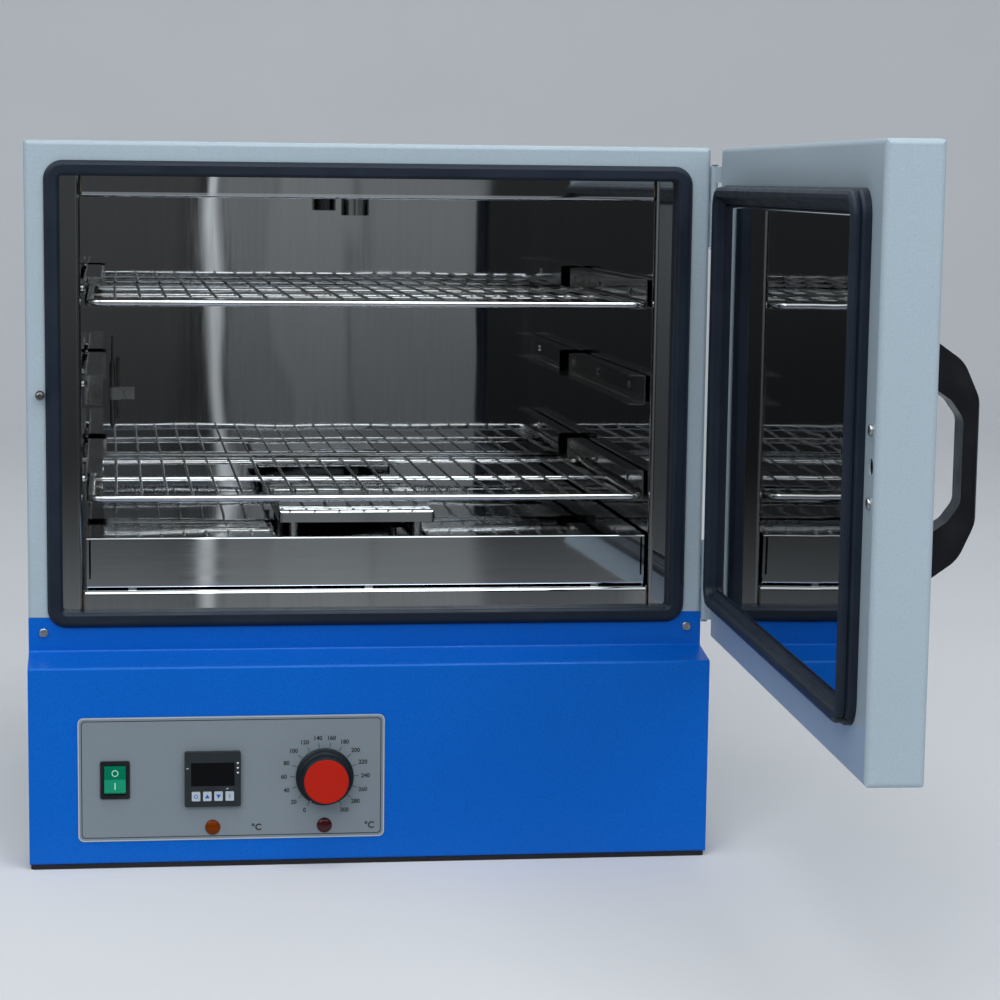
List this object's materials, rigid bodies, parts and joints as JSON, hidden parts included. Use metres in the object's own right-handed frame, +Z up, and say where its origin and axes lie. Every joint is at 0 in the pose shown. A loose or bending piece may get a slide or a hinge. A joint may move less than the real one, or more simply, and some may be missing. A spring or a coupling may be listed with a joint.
{
  "type": "dry heat sterilizer",
  "caption": "Bench-top hot-air sterilizer: insulated grey cabinet with a stainless chamber, sliding wire shelves, a side-hinged door with seal and handle, and a blue control fascia.",
  "frame": {"origin": "centre of the cabinet's footprint on the bench, inside the ring of the base strip", "axes": "+X to the viewer's right along the front, +Y from the door to the back, +Z up"},
  "size_m": [0.6566, 1.0443, 0.619],
  "materials": {
    "grey_paint": "light grey textured powder coat",
    "blue_paint": "blue textured powder coat",
    "label_grey": "satin printed plate",
    "zinc_plate": "plain zinc-coated sheet",
    "chamber_steel": "polished stainless steel",
    "floor_steel": "polished stainless steel",
    "runner_steel": "polished stainless steel",
    "tube_steel": "drawn stainless tube",
    "mirror_steel": "mirror-polished stainless steel",
    "shelf_wire": "electropolished wire",
    "fastener_steel": "bright steel",
    "dark_pin": "dull dark steel",
    "element_steel": "heat-tinted sheath",
    "probe_metal": "dull drawn metal",
    "clip_steel": "zinc-plated strip",
    "mineral_wool": "dark mineral wool blanket",
    "seal_rubber": "smooth silicone rubber",
    "strip_rubber": "hard black rubber",
    "handle_plastic": "moulded black plastic",
    "black_plastic": "moulded black plastic",
    "controller_plastic": "dark grey moulded plastic",
    "dark_window": "dark clear window",
    "inner_plastic": "plain moulded plastic",
    "amber_lens": "amber lens",
    "red_lens": "dark red lens",
    "rocker_green": "translucent green plastic",
    "knob_black": "moulded black plastic",
    "knob_red": "red-orange moulded plastic",
    "button_grey": "light grey rubbery plastic"
  },
  "bodies": {
    "cabinet": {"outer_casing": "grey_paint", "front_frame": "grey_paint", "rear_panel": "grey_paint", "base_plate": "zinc_plate", "control_fascia": "blue_paint", "label_plate": "label_grey", "chamber_liner": "chamber_steel", "chamber_insulation": "mineral_wool", "cabinet_seal": "seal_rubber", "false_floor": "floor_steel", "air_baffle": "floor_steel", "baffle_spacers": "fastener_steel", "heating_elements": "element_steel", "left_lower_runner": "runner_steel", "left_middle_runner": "runner_steel", "left_upper_runner": "runner_steel", "right_lower_runner": "runner_steel", "right_middle_runner": "runner_steel", "right_upper_runner": "runner_steel", "runner_studs": "fastener_steel", "vent_tube": "tube_steel", "thermostat_bulb": "probe_metal", "control_sensor": "probe_metal", "sensor_clip": "clip_steel", "thermostat_body": "inner_plastic", "rocker_housing": "black_plastic", "controller_case": "controller_plastic", "controller_window": "dark_window", "lamp_bodies": "inner_plastic", "heat_lamp_lens": "amber_lens", "over_temp_lamp_lens": "red_lens", "catch_stud": "dark_pin", "cable_gland": "black_plastic", "base_strip": "strip_rubber", "case_screws": "fastener_steel", "upper_hinge_cabinet_leaf": "grey_paint", "lower_hinge_cabinet_leaf": "grey_paint", "hinge_cabinet_screws": "fastener_steel"},
    "door": {"door_skin": "grey_paint", "door_inner_panel": "mirror_steel", "door_seal": "seal_rubber", "door_insulation": "mineral_wool", "door_handle": "handle_plastic", "door_screws": "fastener_steel", "catch_body": "black_plastic", "upper_hinge_door_leaf": "grey_paint", "lower_hinge_door_leaf": "grey_paint", "hinge_pins": "fastener_steel", "hinge_door_screws": "fastener_steel"},
    "catch": {"catch_plunger": "fastener_steel"},
    "shelf_upper": {"upper_shelf": "shelf_wire"},
    "shelf_lower": {"lower_shelf": "shelf_wire"},
    "rocker": {"power_rocker": "rocker_green"},
    "knob": {"knob_body": "knob_black", "knob_cap": "knob_red", "knob_spindle": "fastener_steel"},
    "menu_key": {"menu_button": "button_grey"},
    "up_key": {"up_button": "button_grey"},
    "down_key": {"down_button": "button_grey"},
    "program_key": {"program_button": "button_grey"}
  },
  "joints": [
    {"name": "door_hinge", "type": "hinge", "parent": "cabinet", "child": "door", "pos_m": [0.298, -0.216, 0.404], "axis": [0, 0, 1], "range_deg": [-87.3, 92.7]},
    {"name": "catch_slide", "type": "slide", "parent": "door", "child": "catch", "axis": [0.0471, 0.9989, 0], "range_m": [0, 0.002], "stiffness_N_per_m": 400, "springref_m": -0.002},
    {"name": "upper_shelf_slide", "type": "slide", "parent": "cabinet", "child": "shelf_upper", "axis": [0, -1, 0], "range_m": [0, 0.2]},
    {"name": "lower_shelf_slide", "type": "slide", "parent": "cabinet", "child": "shelf_lower", "axis": [0, -1, 0], "range_m": [0, 0.2]},
    {"name": "rocker_tilt", "type": "hinge", "parent": "cabinet", "child": "rocker", "pos_m": [-0.222, -0.256, 0.078], "axis": [1, 0, 0], "range_deg": [0, 20]},
    {"name": "knob_turn", "type": "hinge", "parent": "cabinet", "child": "knob", "pos_m": [-0.0425, -0.257, 0.078], "axis": [0, 1, 0], "range_deg": [0, 300]},
    {"name": "menu_press", "type": "slide", "parent": "cabinet", "child": "menu_key", "axis": [0, 1, 0], "range_m": [0, 0.0008], "stiffness_N_per_m": 300, "springref_m": -0.0005},
    {"name": "up_press", "type": "slide", "parent": "cabinet", "child": "up_key", "axis": [0, 1, 0], "range_m": [0, 0.0008], "stiffness_N_per_m": 300, "springref_m": -0.0005},
    {"name": "down_press", "type": "slide", "parent": "cabinet", "child": "down_key", "axis": [0, 1, 0], "range_m": [0, 0.0008], "stiffness_N_per_m": 300, "springref_m": -0.0005},
    {"name": "program_press", "type": "slide", "parent": "cabinet", "child": "program_key", "axis": [0, 1, 0], "range_m": [0, 0.0008], "stiffness_N_per_m": 300, "springref_m": -0.0005}
  ]
}
